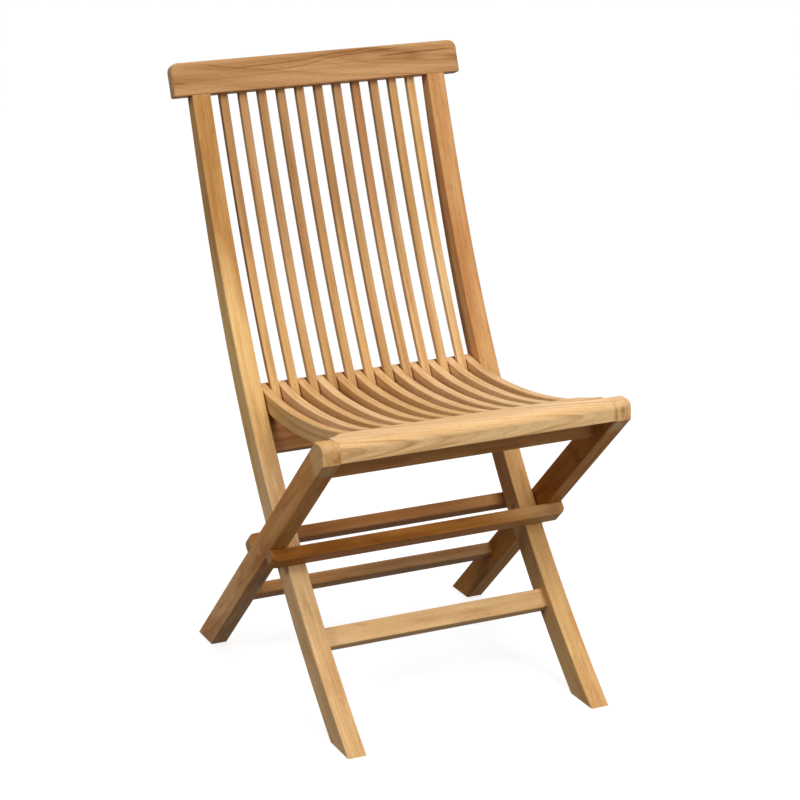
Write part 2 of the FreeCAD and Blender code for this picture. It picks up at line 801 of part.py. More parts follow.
# Centre the chair over its depth and stand it on the floor
doc.recompute()
bodies = [item for item in doc.Objects if item.TypeId == "PartDesign::Body"]
boxes = [body.Shape.optimalBoundingBox(False, False) for body in bodies]
nearest = min(box.YMin for box in boxes)
farthest = max(box.YMax for box in boxes)
keep_solved("frame_shift", -(nearest + farthest) / 2)
doc.recompute()
for body in bodies:
    own_depth = body.Placement.Base.y
    body.setExpression("Placement.Base.y", "Dimensions.frame_shift + %.6f" % own_depth)
doc.recompute()

# Check every feature, then write one file for each piece
for item in doc.Objects:
    assert "Invalid" not in item.State and "Error" not in item.State, item.Name
for body in bodies:
    assert not body.Shape.isNull() and body.Shape.isValid() and len(body.Shape.Solids) == 1, body.Label
for body in bodies:
    body.Shape.exportStep("parts/%s.step" % body.Label)

shift = size("frame_shift")
print("pieces", len(bodies))
print("depth shift", round(shift, 4))
print("main pivot", round(pivot[0] + shift, 4), round(pivot[1], 4))
print("seat pivot", round(seat_pivot[0] + shift, 4), round(seat_pivot[1], 4))
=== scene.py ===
"""Finishes, light, floor and camera of the folding teak patio chair."""

import logging
import math
import random
from dataclasses import dataclass, field
from enum import Enum

import bpy
import numpy as np
from mathutils import Matrix, Vector

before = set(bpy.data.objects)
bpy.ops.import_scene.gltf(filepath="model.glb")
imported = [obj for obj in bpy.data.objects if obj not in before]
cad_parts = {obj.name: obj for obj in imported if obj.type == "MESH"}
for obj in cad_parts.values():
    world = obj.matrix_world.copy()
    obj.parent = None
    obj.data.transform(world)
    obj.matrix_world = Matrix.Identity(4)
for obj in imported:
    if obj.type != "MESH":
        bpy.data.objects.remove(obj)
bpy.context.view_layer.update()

log = logging.getLogger("patio_chair")

Socket = bpy.types.NodeSocket
Colour = tuple[float, float, float]
Point = tuple[float, float, float]
Reach = tuple[float, float]
Feed = float | tuple | Socket

RISING: Reach = (0.0, 1.0)
FALLING: Reach = (1.0, 0.0)
NOISE_MIDDLE = 0.5
BEVEL_SAMPLES = 4
EDGE_LIKENESS: Reach = (0.998, 0.93)
SWEEP_POWER = 3


class GrainRun(Enum):
    """Way in which the grain of a wooden piece runs."""

    ACROSS = "across the chair"
    RISING_BACK = "up and to the rear"
    RISING_FRONT = "up and to the front"
    LEVEL = "from front to rear"


class Tone(Enum):
    """Colours of the boards that the chair is cut from, from the palest to the darkest; COPPER, AMBER and
    UMBER also hold painted shade.
    """

    STRAW = (0.890, 0.595, 0.300)
    BUTTER = (0.890, 0.580, 0.245)
    FAWN = (0.890, 0.530, 0.235)
    PALE = (0.810, 0.508, 0.222)
    WHEAT = (0.700, 0.430, 0.190)
    HAZEL = (0.740, 0.410, 0.175)
    SIENNA = (0.690, 0.325, 0.095)
    HONEY = (0.600, 0.345, 0.160)
    GOLDEN = (0.610, 0.335, 0.115)
    # COPPER is partly board colour and partly painted shade: darkened and saturated for the right leg's
    # inner face under the seat.
    COPPER = (0.640, 0.290, 0.056)
    TOAST = (0.530, 0.305, 0.140)
    RUSSET = (0.560, 0.295, 0.135)
    TAWNY = (0.550, 0.275, 0.105)
    # AMBER is partly board colour and partly painted shade: darkened and saturated for the front stop bar
    # in the seat's shade.
    AMBER = (0.510, 0.218, 0.045)
    # UMBER is partly board colour and partly painted shade: darkened for the lower back rail in shade
    # under the seat.
    UMBER = (0.455, 0.225, 0.088)


@dataclass(frozen=True)
class Pattern:
    """Noise as a mark of a surface.

    The pitch is the size of its features in metres, on one axis or on three. Detail and roughness
    add finer noise, and the mark shows more and more from the first to the second value of shown.
    """

    pitch: tuple[float, ...]
    detail: float
    roughness: float = 0.5
    shown: Reach = RISING


@dataclass(frozen=True)
class Vein:
    """Long dark mineral line across a rail, from one place across the chair to another."""

    start: float
    end: float
    start_height: float
    rise: float
    wave: float = 0.008
    width: float = 0.0010


@dataclass(frozen=True)
class Lay:
    """How the grain lies in one piece.

    The grain turns the piece's axes into those of its board, the reach says where the piece starts
    and ends along the grain, and the middle is its middle height across the grain. The sweep holds
    the factors of a curve that the grain follows, the highest power first.
    """

    grain: Matrix
    reach: Reach
    middle: float
    sweep: tuple[float, ...] = ()


@dataclass(frozen=True)
class Cut:
    """How one piece is cut from its board.

    The tone runs from the foot tone at the start of the grain to the head tone at its end, and turns
    from one to the other at a share of the length, over a run which is a share of the length too.
    A band of a third tone may lie there, and a tip of one more tone may end the piece. The lean says
    how steeply the growth lines cross the piece, the arch how sharply they bend into tongues and how
    far above the middle, the figure how strongly they show, the streaks how strongly the bands
    between them show and the stain how strongly the weather has marked the piece. Veins are single
    dark lines.
    """

    foot: Tone
    head: Tone
    lean: float = 0.02
    figure: float = 1.0
    turn: float = 0.5
    run: float = 0.20
    band: Tone | None = None
    tip: Tone | None = None
    streaks: float = 0.55
    stain: float = 0.0
    arch: Reach = (0.0, 0.0)
    veins: tuple[Vein, ...] = ()


def plain_cut(tone: Tone, lean: float = 0.02, figure: float = 1.0) -> Cut:
    """Cut with one tone from end to end."""
    return Cut(tone, tone, lean, figure)


def paint(colour: Colour) -> tuple[float, float, float, float]:
    """Add the full alpha that a colour socket wants."""
    return (*colour, 1.0)


class NodeBench:
    """Small helper that adds and joins the nodes of one material or of the world."""

    def __init__(self, owner: bpy.types.ID) -> None:
        """Empty the node tree of a material or a world.

        Args:
            owner: The material or world.
        """
        owner.use_nodes = True
        self.tree = owner.node_tree
        self.tree.nodes.clear()

    def add(self, kind: str, **settings: object) -> bpy.types.Node:
        """Add a node and set its plain properties.

        Args:
            kind: Blender's node type name.
            **settings: Properties of the node.

        Returns:
            The new node.
        """
        node = self.tree.nodes.new(kind)
        for key, value in settings.items():
            setattr(node, key, value)
        return node

    def feed(self, node: bpy.types.Node, **inputs: Feed) -> bpy.types.Node:
        """Fill inputs of a node with numbers or with the outputs of other nodes.

        Args:
            node: The node to fill.
            **inputs: Input names with blanks as underscores, or in0, in1 by place.

        Returns:
            The same node.
        """
        for key, value in inputs.items():
            place = key[2:]
            if key.startswith("in") and place.isdigit():
                socket = node.inputs[int(place)]
            else:
                socket = node.inputs[key.replace("_", " ")]
            if isinstance(value, Socket):
                self.tree.links.new(value, socket)
            else:
                socket.default_value = value
        return node

    def math(self, operation: str, first: Feed, second: Feed = 0.0, third: Feed = 0.0) -> Socket:
        """Join one to three values with a math node.

        Args:
            operation: Name of the operation.
            first: Number or socket.
            second: Number or socket, for the operations that take two.
            third: Number or socket, for the operations that take three.

        Returns:
            The result.
        """
        node = self.add("ShaderNodeMath", operation=operation)
        self.feed(node, in0=first, in1=second, in2=third)
        return node.outputs[0]

    def vector(self, operation: str, first: Feed, second: Feed) -> bpy.types.Node:
        """Join two vectors with a vector math node.

        Args:
            operation: Name of the operation.
            first: Vector or socket.
            second: Vector or socket.

        Returns:
            The node, with a vector on its first output and a number on its second.
        """
        node = self.add("ShaderNodeVectorMath", operation=operation)
        return self.feed(node, in0=first, in1=second)

    def noise(self, place: Socket, pattern: Pattern) -> Socket:
        """Noise over a place, with its own pitch on each axis.

        Args:
            place: Coordinates.
            pattern: Sizes of the noise on three axes.

        Returns:
            The noise value.
        """
        scaled = self.vector("DIVIDE", place, pattern.pitch).outputs[0]
        node = self.add("ShaderNodeTexNoise")
        self.feed(node, Vector=scaled, Scale=1.0, Detail=pattern.detail, Roughness=pattern.roughness)
        return node.outputs["Fac"]

    def noise_line(self, value: Socket, pattern: Pattern) -> Socket:
        """Noise along a single value.

        Args:
            value: The value.
            pattern: Size of the noise along it.

        Returns:
            The noise value.
        """
        node = self.add("ShaderNodeTexNoise", noise_dimensions="1D")
        self.feed(node, W=value, Scale=1 / pattern.pitch[0])
        self.feed(node, Detail=pattern.detail, Roughness=pattern.roughness)
        return node.outputs["Fac"]

    def span(self, value: Socket, limits: Reach, result: Reach = RISING) -> Socket:
        """Map a value from one range to another, smoothly and clamped.

        Args:
            value: The value.
            limits: Values that give the first and the second result.
            result: Results at the two limits.

        Returns:
            The mapped value.
        """
        node = self.add("ShaderNodeMapRange", interpolation_type="SMOOTHSTEP")
        self.feed(node, Value=value, From_Min=limits[0], From_Max=limits[1])
        self.feed(node, To_Min=result[0], To_Max=result[1])
        return node.outputs["Result"]

    def blend(self, amount: Feed, first: Feed, second: Feed, mode: str = "MIX") -> Socket:
        """Mix two colours.

        Args:
            amount: Share of the second colour.
            first: Colour or socket.
            second: Colour or socket.
            mode: Blend mode.

        Returns:
            The mixed colour.
        """
        node = self.add("ShaderNodeMix", data_type="RGBA", blend_type=mode)
        self.feed(node, in0=amount, in6=first, in7=second)
        return node.outputs[2]

    def edge(self, width: float) -> Socket:
        """Mask of the eased edges of a piece.

        Args:
            width: How far from an edge the mask reaches.

        Returns:
            1 along the edges and 0 on the flats.
        """
        bevel = self.add("ShaderNodeBevel", samples=BEVEL_SAMPLES)
        self.feed(bevel, Radius=width)
        shape = self.add("ShaderNodeNewGeometry")
        likeness = self.vector("DOT_PRODUCT", bevel.outputs[0], shape.outputs["Normal"]).outputs[1]
        return self.span(likeness, EDGE_LIKENESS)

    def bump(self, height: Socket, strength: float, distance: float) -> Socket:
        """Normal of a surface with fine relief.

        Args:
            height: Height of the relief.
            strength: Strength of the relief.
            distance: Depth of the relief in metres.

        Returns:
            The normal.
        """
        node = self.add("ShaderNodeBump")
        self.feed(node, Strength=strength, Distance=distance, Height=height)
        return node.outputs[0]

    def seen_rays(self) -> Socket:
        """Tell the rays of the camera, metal and glass from those that light the chair.

        Returns:
            1 for the first and 0 for the others.
        """
        path = self.add("ShaderNodeLightPath")
        seen = self.math("MAXIMUM", path.outputs["Is Camera Ray"], path.outputs["Is Glossy Ray"])
        return self.math("MAXIMUM", seen, path.outputs["Is Transmission Ray"])

    def finish(self, kind: str, shader: bpy.types.Node) -> None:
        """Join the last shader to an output node of a kind."""
        self.feed(self.add(kind), Surface=shader.outputs[0])


@dataclass(frozen=True)
class Board:
    """Sockets with the coordinates of one piece in its board.

    The place is moved to the piece's own spot in the board. Along and height are unmoved: they
    measure along the grain and across it.
    """

    place: Socket
    along: Socket
    height: Socket


@dataclass(frozen=True)
class Marks:
    """Sockets with the marks of the wood, each from 0 to 1."""

    ring: Socket
    fibre: Socket
    pore: Socket
    end: Socket
    worn: Socket


@dataclass(frozen=True)
class TeakFinish:
    """Sanded, lightly oiled teak with growth lines, fibre streaks, pores and worn edges.

    Each mark of the wood has a pattern, a tint and a share that says how strongly it shows. Sizes
    are in metres.
    """

    late_tint: Colour = (0.640, 0.500, 0.380)
    fibre_tint: Colour = (0.860, 0.800, 0.720)
    pore_tint: Colour = (0.420, 0.310, 0.230)
    end_tint: Colour = (0.620, 0.440, 0.280)
    stain_tint: Colour = (0.720, 0.530, 0.390)
    streak_tint: Colour = (0.760, 0.640, 0.520)
    sheen_tint: Colour = (1.000, 0.780, 0.520)

    rings: Pattern = Pattern((0.0055,), 2.0, 0.6, (0.38, 0.68))
    lines: Pattern = Pattern((0.0120,), 1.0, shown=(0.0, 0.05))
    line_fades: Pattern = Pattern((0.09, 0.02, 0.02), 1.0, shown=(0.35, 0.65))
    waves: Pattern = Pattern((0.50, 0.06, 0.06), 2.0, 0.45)
    fibres: Pattern = Pattern((0.16, 0.0012, 0.0012), 3.0, 0.6, (0.38, 0.74))
    streaks: Pattern = Pattern((0.60, 0.0090, 0.0090), 2.0, 0.55, (0.42, 0.70))
    pores: Pattern = Pattern((0.0090, 0.0006, 0.0006), 0.0, shown=(0.30, 0.19))
    stains: Pattern = Pattern((0.11, 0.030, 0.030), 3.0, 0.6, (0.48, 0.64))
    clouds: Pattern = Pattern((0.30, 0.045, 0.045), 2.0, shown=(0.35, 0.65))
    vein_sways: Pattern = Pattern((0.11,), 2.0)
    wear: Pattern = Pattern((0.03, 0.006, 0.006), 2.0, shown=(0.3, 0.6))
    sanding: Pattern = Pattern((0.05, 0.012, 0.012), 2.0)

    board_spread: Point = (20.0, 5.0, 5.0)
    centre_swing: float = 0.35
    wander: float = 0.0180
    ring_share: float = 0.28
    line_share: float = 0.60
    vein_share: float = 0.85
    vein_fade: float = 0.2
    pore_share: float = 0.6
    cloud_share: float = 0.8
    end_share: float = 0.35
    worn_share: float = 0.20
    tone_sway: float = 0.4
    band_core: float = 0.05
    tip_reach: Reach = (0.92, 0.95)
    end_likeness: Reach = (0.90, 0.98)
    edge_width: float = 0.0030
    least_wear: float = 0.35

    gloss: float = 0.07
    sheen_reach: Reach = (0.3, 0.7)
    roughness: Reach = (0.49, 0.65)
    end_dulling: float = 0.18
    worn_rubbing: float = -0.10
    fibre_height: float = 0.5
    sanding_height: float = 1.6
    ring_height: float = -0.25
    relief: float = 0.00016
    relief_strength: float = 0.7

    def material(self, name: str, lay: Lay, cut: Cut) -> bpy.types.Material:
        """Make the teak of one piece.

        Args:
            name: Name of the piece, which also picks its place in the board.
            lay: How the grain lies in the piece.
            cut: How the piece is cut from its board.

        Returns:
            The finished material.
        """
        wood = bpy.data.materials.new("teak_" + name)
        bench = NodeBench(wood)
        draws = random.Random(name)
        board = self._board(bench, lay, draws)
        ring, line = self._growth(bench, board, lay, cut, draws)
        fibre = bench.noise(board.place, self.fibres)
        streak = bench.noise(board.place, self.streaks)
        stain = bench.noise(board.place, self.stains)
        pore = bench.span(bench.noise(board.place, self.pores), self.pores.shown, (0.0, self.pore_share))
        marks = Marks(ring, fibre, pore, self._end_grain(bench, lay.grain), self._worn_edge(bench, board))
        colour = self._tone(bench, board, lay.reach, cut)
        for mark, tint in (
            (bench.math("MULTIPLY", ring, self.ring_share * cut.figure), self.late_tint),
            (bench.math("MULTIPLY", line, self.line_share * cut.figure), self.late_tint),
            *[(self._vein(bench, board, vein), self.pore_tint) for vein in cut.veins],
            (bench.span(streak, self.streaks.shown, (0.0, cut.streaks)), self.streak_tint),
            (bench.span(fibre, self.fibres.shown), self.fibre_tint),
            (pore, self.pore_tint),
            (bench.span(stain, self.stains.shown, (0.0, cut.stain)), self.stain_tint),
        ):
            colour = bench.blend(mark, colour, paint(tint), "MULTIPLY")
        for mark, share, tint in (
            (marks.end, self.end_share, self.end_tint),
            (marks.worn, self.worn_share, Tone.STRAW.value),
        ):
            colour = bench.blend(bench.math("MULTIPLY", mark, share), colour, paint(tint))
        self._surface(bench, board, colour, marks)
        return wood

    def _board(self, bench: NodeBench, lay: Lay, draws: random.Random) -> Board:
        """Coordinates in the board: x along the grain, y and z across it.

        Args:
            bench: Node helper.
            lay: How the grain lies in the piece.
            draws: Random source of the piece.

        Returns:
            The coordinates.
        """
        corner = bench.add("ShaderNodeTexCoord")
        turn = bench.add("ShaderNodeMapping", vector_type="POINT")
        bench.feed(turn, Vector=corner.outputs["Object"], Rotation=tuple(lay.grain.to_euler("XYZ")))
        parts = bench.add("ShaderNodeSeparateXYZ")
        bench.feed(parts, Vector=turn.outputs[0])
        along, beside, height = parts.outputs[:3]
        swept = 0.0
        for factor in lay.sweep:
            swept = bench.math("MULTIPLY_ADD", swept, along, factor)
        place = bench.add("ShaderNodeCombineXYZ")
        bench.feed(place, in0=along, in1=beside, in2=bench.math("SUBTRACT", height, swept))
        spot = tuple(draws.uniform(-far, far) for far in self.board_spread)
        return Board(bench.vector("ADD", place.outputs[0], spot).outputs[0], along, height)

    def _growth(self, bench: NodeBench, board: Board, lay: Lay, cut: Cut,
                draws: random.Random) -> tuple[Socket, Socket]:
        """Growth rings about a tree's centre line, unevenly spaced and slowly wandering.

        Args:
            bench: Node helper.
            board: Coordinates in the board.
            lay: How the grain lies in the piece.
            cut: How the piece is cut from its board.
            draws: Random source of the piece.

        Returns:
            Soft ring tone from 0 to 1, and thin dark growth lines from 0 to 1.
        """
        parts = bench.add("ShaderNodeSeparateXYZ")
        bench.feed(parts, Vector=board.place)
        turn = draws.uniform(-self.centre_swing, self.centre_swing) * math.pi
        beside = bench.math("MULTIPLY_ADD", parts.outputs[1], math.cos(turn),
                            self._arched(bench, board, lay, cut))
        through = bench.math("MULTIPLY_ADD", parts.outputs[2], math.sin(turn), beside)
        leaned = bench.math("MULTIPLY_ADD", parts.outputs[0], cut.lean, through)
        wave = bench.noise(board.place, self.waves)
        radius = bench.math("MULTIPLY_ADD", wave, self.wander, leaned)
        ring = bench.span(bench.noise_line(radius, self.rings), self.rings.shown)
        crossing = bench.math("SUBTRACT", bench.noise_line(radius, self.lines), NOISE_MIDDLE)
        sharp = bench.span(bench.math("ABSOLUTE", crossing), self.lines.shown, FALLING)
        fade = bench.span(bench.noise(board.place, self.line_fades), self.line_fades.shown)
        return ring, bench.math("MULTIPLY", sharp, fade)

    def _arched(self, bench: NodeBench, board: Board, lay: Lay, cut: Cut) -> Socket:
        """Extra depth in the tree, away from the middle height of a piece.

        Args:
            bench: Node helper.
            board: Coordinates in the board.
            lay: How the grain lies in the piece.
            cut: How the piece is cut from its board.

        Returns:
            The depth, which bends the rings into tongues.
        """
        sharpness, rise = cut.arch
        away = bench.math("SUBTRACT", board.height, lay.middle + rise)
        return bench.math("MULTIPLY", bench.math("MULTIPLY", away, away), sharpness)

    def _vein(self, bench: NodeBench, board: Board, vein: Vein) -> Socket:
        """Mask of one dark line, which fades in and out at its ends.

        Args:
            bench: Node helper.
            board: Coordinates in the board.
            vein: Where the line runs.

        Returns:
            The mask.
        """
        climb = bench.math("MULTIPLY_ADD", board.along, -vein.rise, board.height)
        sway = bench.noise_line(board.along, self.vein_sways)
        offset = bench.math("MULTIPLY_ADD", sway, -vein.wave, climb)
        middle = vein.start_height - vein.rise * vein.start - vein.wave * NOISE_MIDDLE
        gap = bench.math("ABSOLUTE", bench.math("SUBTRACT", offset, middle))
        line = bench.span(gap, (0.0, vein.width), (self.vein_share, 0.0))
        fade = self.vein_fade * (vein.end - vein.start)
        begun = bench.span(board.along, (vein.start, vein.start + fade))
        ended = bench.span(board.along, (vein.end - fade, vein.end), FALLING)
        return bench.math("MULTIPLY", line, bench.math("MULTIPLY", begun, ended))

    def _end_grain(self, bench: NodeBench, grain: Matrix) -> Socket:
        """Mask of the faces cut across the grain.

        Args:
            bench: Node helper.
            grain: Rotation into the axes of the grain.

        Returns:
            The mask.
        """
        corner = bench.add("ShaderNodeTexCoord")
        facing = bench.vector("DOT_PRODUCT", corner.outputs["Normal"], tuple(grain[0])).outputs[1]
        return bench.span(bench.math("ABSOLUTE", facing), self.end_likeness)

    def _worn_edge(self, bench: NodeBench, board: Board) -> Socket:
        """Mask of the eased edges, broken up where hands and feet wear them more.

        Args:
            bench: Node helper.
            board: Coordinates in the board.

        Returns:
            The mask.
        """
        wear = bench.noise(board.place, self.wear)
        broken = bench.span(wear, self.wear.shown, (self.least_wear, 1.0))
        return bench.math("MULTIPLY", bench.edge(self.edge_width), broken)

    def _tone(self, bench: NodeBench, board: Board, reach: Reach, cut: Cut) -> Socket:
        """Slow run of tone along a piece, with faint cloudy drift across it.

        Args:
            bench: Node helper.
            board: Coordinates in the board.
            reach: Where the piece starts and ends along its grain.
            cut: How the piece is cut from its board.

        Returns:
            The ground colour of the wood.
        """
        drift = bench.noise(board.place, self.clouds)
        length = reach[1] - reach[0]
        turn = reach[0] + cut.turn * length
        run = cut.run * length
        swing = bench.math("SUBTRACT", drift, NOISE_MIDDLE)
        swayed = bench.math("MULTIPLY_ADD", swing, self.tone_sway * length, board.along)
        share = bench.span(swayed, (turn - run, turn + run))
        ground = bench.blend(share, paint(cut.foot.value), paint(cut.head.value))
        if cut.band:
            away = bench.math("ABSOLUTE", bench.math("SUBTRACT", swayed, turn))
            banded = bench.span(away, (self.band_core * length, run), FALLING)
            ground = bench.blend(banded, ground, paint(cut.band.value))
        if cut.tip:
            start, full = self.tip_reach
            tipped = bench.span(board.along, (reach[0] + start * length, reach[0] + full * length))
            ground = bench.blend(tipped, ground, paint(cut.tip.value))
        cloud = bench.span(drift, self.clouds.shown, (0.0, self.cloud_share))
        return bench.blend(cloud, ground, paint(self.fibre_tint), "MULTIPLY")

    def _surface(self, bench: NodeBench, board: Board, colour: Socket, marks: Marks) -> None:
        """Shader with the bump and roughness of sanded wood.

        Args:
            bench: Node helper.
            board: Coordinates in the board.
            colour: Colour of the wood.
            marks: Marks of the wood.
        """
        dull = bench.span(marks.fibre, self.sheen_reach, self.roughness)
        matte = bench.math("MULTIPLY_ADD", marks.end, self.end_dulling, dull)
        rubbed = bench.math("MULTIPLY_ADD", marks.worn, self.worn_rubbing, matte)
        sanding = bench.math("MULTIPLY", bench.noise(board.place, self.sanding), self.sanding_height)
        height = bench.math("MULTIPLY_ADD", marks.fibre, self.fibre_height, sanding)
        height = bench.math("MULTIPLY_ADD", marks.ring, self.ring_height, height)
        height = bench.math("SUBTRACT", height, marks.pore)
        surface = bench.add("ShaderNodeBsdfPrincipled")
        bench.feed(surface, Specular_IOR_Level=self.gloss, Specular_Tint=paint(self.sheen_tint))
        bench.feed(surface, Base_Color=colour, Roughness=rubbed)
        bench.feed(surface, Normal=bench.bump(height, self.relief_strength, self.relief))
        bench.finish("ShaderNodeOutputMaterial", surface)


@dataclass(frozen=True)
class SteelFinish:
    """Brushed stainless steel of the bolts, nuts, washers and pins."""

    bright: Colour = (0.66, 0.65, 0.63)
    dull: Colour = (0.50, 0.49, 0.47)
    rubbed: Colour = (0.74, 0.73, 0.71)
    turning: Pattern = Pattern((0.00025, 0.0033, 0.0033), 2.0, shown=(0.3, 0.7))
    haze: Pattern = Pattern((0.0045, 0.0045, 0.0045), 2.0)
    edge_width: float = 0.0008
    roughness: Reach = (0.28, 0.42)
    relief: float = 0.00003
    relief_strength: float = 0.4

    def material(self) -> bpy.types.Material:
        """Make the steel, with fine turning lines, a little dulling and rubbed edges.

        Returns:
            The finished material.
        """
        steel = bpy.data.materials.new("stainless_steel")
        bench = NodeBench(steel)
        place = bench.add("ShaderNodeTexCoord").outputs["Object"]
        lines = bench.noise(place, self.turning)
        colour = bench.blend(bench.noise(place, self.haze), paint(self.bright), paint(self.dull))
        colour = bench.blend(bench.edge(self.edge_width), colour, paint(self.rubbed))
        surface = bench.add("ShaderNodeBsdfPrincipled")
        bench.feed(surface, Base_Color=colour, Metallic=1.0)
        bench.feed(surface, Roughness=bench.span(lines, self.turning.shown, self.roughness))
        bench.feed(surface, Normal=bench.bump(lines, self.relief_strength, self.relief))
        bench.finish("ShaderNodeOutputMaterial", surface)
        return steel


def grain_axes(piece: bpy.types.Object, run: GrainRun) -> Matrix:
    """Rotation that turns a piece's own axes into the axes of its grain.

    Args:
        piece: The piece, or the piece whose grain is followed.
        run: Way in which the grain runs.

    Returns:
        A rotation whose first axis lies along the grain.
    """
    _, depth, height = (max(places) - min(places) for places in zip(*piece.bound_box))
    along, beside = {
        GrainRun.ACROSS: (Vector((1, 0, 0)), Vector((0, 1, 0))),
        GrainRun.RISING_BACK: (Vector((0, depth, height)), Vector((1, 0, 0))),
        GrainRun.RISING_FRONT: (Vector((0, -depth, height)), Vector((1, 0, 0))),
        GrainRun.LEVEL: (Vector((0, 1, 0)), Vector((1, 0, 0))),
    }[run]
    along.normalize()
    return Matrix((along, beside, along.cross(beside)))


def lay_of(piece: bpy.types.Object, grain: Matrix, bent: bool = False) -> Lay:
    """Measure how a grain lies in a piece.

    Args:
        piece: The piece.
        grain: Rotation into the axes of the grain.
        bent: Whether the grain follows the sweep of the piece.

    Returns:
        The lay of the piece.
    """
    places = [grain @ vertex.co for vertex in piece.data.vertices]
    along = [place.x for place in places]
    across = [place.z for place in places]
    sweep = tuple(float(factor) for factor in np.polyfit(along, across, SWEEP_POWER)) if bent else ()
    return Lay(grain, (min(along), max(along)), (min(across) + max(across)) / 2, sweep)


def clad(piece: bpy.types.Object, material: bpy.types.Material) -> None:
    """Give a piece one material all over."""
    piece.data.materials.clear()
    piece.data.materials.append(material)


@dataclass
class WoodGroup:
    """Wooden pieces of one sub-assembly whose grain runs the same way."""

    cuts: dict[str, Cut]
    run: GrainRun
    bent: bool = False
    finish: TeakFinish = field(default_factory=TeakFinish)

    def dress(self) -> None:
        """Give every piece its own cut of teak."""
        for node, cut in self.cuts.items():
            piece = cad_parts[node]
            grain = grain_axes(piece, self.run)
            clad(piece, self.finish.material(node, lay_of(piece, grain, self.bent), cut))
            log.info("%s: teak, grain %s", node, self.run.value)


@dataclass
class PlugGroup:
    """Teak plugs over the bolts and nuts, set with their grain along the piece they close."""

    hosts: dict[str, str]
    run: GrainRun
    cut: Cut
    finish: TeakFinish = field(default_factory=TeakFinish)

    def dress(self) -> None:
        """Give every plug its own cut of teak."""
        for node, host in self.hosts.items():
            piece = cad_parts[node]
            grain = grain_axes(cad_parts[host], self.run)
            clad(piece, self.finish.material(node, lay_of(piece, grain), self.cut))
            log.info("%s: teak plug, grain %s", node, self.run.value)


@dataclass
class SteelGroup:
    """Bolts, nuts, washers and pins."""

    nodes: list[str]
    finish: SteelFinish = field(default_factory=SteelFinish)

    def dress(self) -> None:
        """Give every piece the same steel."""
        steel = self.finish.material()
        for node in self.nodes:
            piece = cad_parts[node]
            clad(piece, steel)
            log.info("%s: steel", node)


def numbered(stem: str, cuts: list[Cut]) -> dict[str, Cut]:
    """Cuts of a row of pieces by name.

    Args:
        stem: Name before the number.
        cuts: The cuts in order, from the left of the chair.

    Returns:
        The names with their cuts.
    """
    return {"%s_%02d" % (stem, number): cut for number, cut in enumerate(cuts, start=1)}


def both_sides(*stems: str) -> list[str]:
    """Names of the left and right piece of each kind."""
    return [side + stem for side in ("left_", "right_") for stem in stems]


def plug_hosts(stem: str) -> dict[str, str]:
    """Names of the left and right plug of a kind of piece, with the pieces that they close."""
    return {piece + "_plug": piece for piece in both_sides(stem)}


@dataclass
class BackFrame:
    """Stiles, crest rail, back slats and the rails between the stiles."""

    left_stile: Cut = Cut(Tone.STRAW, Tone.GOLDEN, lean=0.004, figure=0.5, turn=0.56,
                          band=Tone.BUTTER, streaks=0.25, stain=0.4)
    right_stile: Cut = Cut(Tone.PALE, Tone.HAZEL, lean=0.004, figure=0.6, turn=0.55,
                           streaks=0.35, stain=0.4)
    crest_rail: Cut = Cut(Tone.HONEY, Tone.HONEY, lean=0.045, figure=1.3, veins=(
        Vein(-0.17, 0.13, start_height=0.864, rise=0.055),
        Vein(-0.09, 0.16, start_height=0.860, rise=0.075, wave=0.012, width=0.0008),
        Vein(0.09, 0.23, start_height=0.866, rise=0.020, wave=0.004, width=0.0018),
    ))
    # Partly the rail's own tone and partly painted shade: UMBER is darkened for the rail's place in shade
    # under the seat.
    lower_back_rail: Cut = plain_cut(Tone.UMBER)
    front_stretcher: Cut = Cut(Tone.STRAW, Tone.STRAW, lean=0.03, figure=0.6, streaks=0.2)
    plugs: Cut = plain_cut(Tone.HONEY)
    slat_lean: float = 0.01
    slat_figure: float = 0.8
    slat_tones: tuple[tuple[Tone, Tone], ...] = (
        (Tone.PALE, Tone.HONEY),
        (Tone.PALE, Tone.HONEY),
        (Tone.WHEAT, Tone.TOAST),
        (Tone.WHEAT, Tone.TOAST),
        (Tone.WHEAT, Tone.HONEY),
        (Tone.PALE, Tone.TOAST),
        (Tone.WHEAT, Tone.TOAST),
        (Tone.WHEAT, Tone.RUSSET),
        (Tone.STRAW, Tone.TOAST),
        (Tone.STRAW, Tone.WHEAT),
        (Tone.STRAW, Tone.PALE),
    )

    def dress(self) -> None:
        """Finish the wood and the hardware of the back."""
        stiles = {"left_stile": self.left_stile, "right_stile": self.right_stile}
        rails = {
            "crest_rail": self.crest_rail,
            "lower_back_rail": self.lower_back_rail,
            "front_stretcher": self.front_stretcher,
        }
        slats = [Cut(foot, head, self.slat_lean, self.slat_figure) for foot, head in self.slat_tones]
        WoodGroup(stiles, GrainRun.RISING_BACK, bent=True).dress()
        WoodGroup(rails, GrainRun.ACROSS).dress()
        WoodGroup(numbered("back_slat", slats), GrainRun.RISING_BACK, bent=True).dress()
        PlugGroup(plug_hosts("stile"), GrainRun.RISING_BACK, self.plugs).dress()
        SteelGroup(both_sides("pivot_bolt", "pivot_nut", "pivot_washer")).dress()


